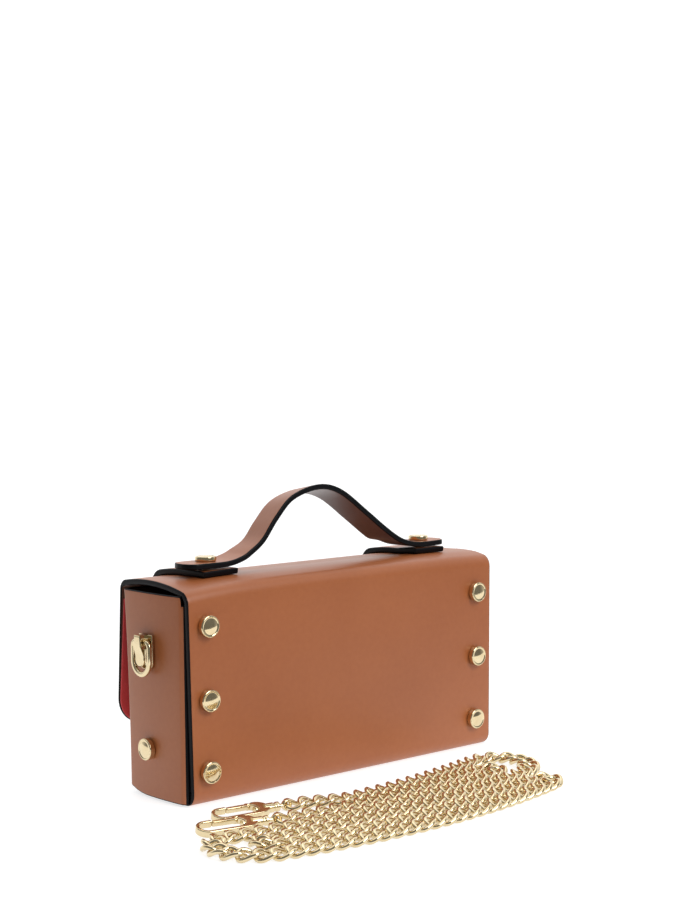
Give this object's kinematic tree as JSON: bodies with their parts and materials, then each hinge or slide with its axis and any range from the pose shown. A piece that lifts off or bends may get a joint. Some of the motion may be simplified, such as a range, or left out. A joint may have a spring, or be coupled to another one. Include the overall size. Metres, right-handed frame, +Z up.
{
  "type": "leather bag",
  "caption": "Small rectangular leather box bag with a front flap, arched top handle, riveted corners, ring fittings on the ends and a loose metal chain strap with snap hooks.",
  "frame": {"origin": "on the table, under the middle of the flat bottom of the bag", "axes": "+X to the right end seen from the front, +Y to the back, +Z up"},
  "size_m": [0.242, 0.1631, 0.1394],
  "materials": {
    "leather": "smooth satin tan",
    "lining": "matte red suede",
    "gold_metal": "polished pale gold"
  },
  "bodies": {
    "bag": {"body_wrap": "leather", "front_wall": "leather", "handle": "leather", "end_tab_right": "leather", "end_tab_left": "leather", "handle_strap_right": "leather", "handle_strap_left": "leather", "flap_lining": "lining", "stud_back_right_top": "gold_metal", "stud_back_right_middle": "gold_metal", "stud_back_right_bottom": "gold_metal", "stud_back_left_top": "gold_metal", "stud_back_left_middle": "gold_metal", "stud_back_left_bottom": "gold_metal", "stud_front_right": "gold_metal", "stud_front_left": "gold_metal", "stud_end_right": "gold_metal", "stud_end_left": "gold_metal", "handle_rivet_right": "gold_metal", "handle_rivet_left": "gold_metal", "strap_stud_right": "gold_metal", "strap_stud_left": "gold_metal", "ring_mount_right": "gold_metal", "ring_mount_left": "gold_metal", "hook_a_eye": "gold_metal", "hook_b_eye": "gold_metal", "chain": "gold_metal"},
    "ring_right": {"ring_right": "gold_metal"},
    "ring_left": {"ring_left": "gold_metal"},
    "hook_a": {"hook_a_body": "gold_metal"},
    "hook_b": {"hook_b_body": "gold_metal"},
    "hook_a_gate": {"hook_a_gate": "gold_metal"},
    "hook_b_gate": {"hook_b_gate": "gold_metal"}
  },
  "joints": [
    {"name": "ring_right_swing", "type": "hinge", "parent": "bag", "child": "ring_right", "pos_m": [0.1022, -0.0035, 0.0721], "axis": [0, -1, 0], "range_deg": [0, 150]},
    {"name": "ring_left_swing", "type": "hinge", "parent": "bag", "child": "ring_left", "pos_m": [-0.1022, -0.0035, 0.0721], "axis": [0, 1, 0], "range_deg": [0, 150]},
    {"name": "hook_a_swivel", "type": "hinge", "parent": "bag", "child": "hook_a", "pos_m": [0.0763, 0.0546, 0.0026], "axis": [0.9903, -0.1392, 0], "continuous": true},
    {"name": "hook_a_gate_lever", "type": "hinge", "parent": "hook_a", "child": "hook_a_gate", "pos_m": [0.08424, 0.04933, 0.00347], "axis": [0.0289, 0.2059, 0.9781], "range_deg": [0, 25], "stiffness_Nm_per_rad": 0.002},
    {"name": "hook_b_swivel", "type": "hinge", "parent": "bag", "child": "hook_b", "pos_m": [0.0942, 0.0691, 0.0026], "axis": [0.9744, -0.225, 0], "continuous": true},
    {"name": "hook_b_gate_lever", "type": "hinge", "parent": "hook_b", "child": "hook_b_gate", "pos_m": [0.10166, 0.06316, 0.00347], "axis": [0.0468, 0.2026, 0.9781], "range_deg": [0, 25], "stiffness_Nm_per_rad": 0.002}
  ]
}
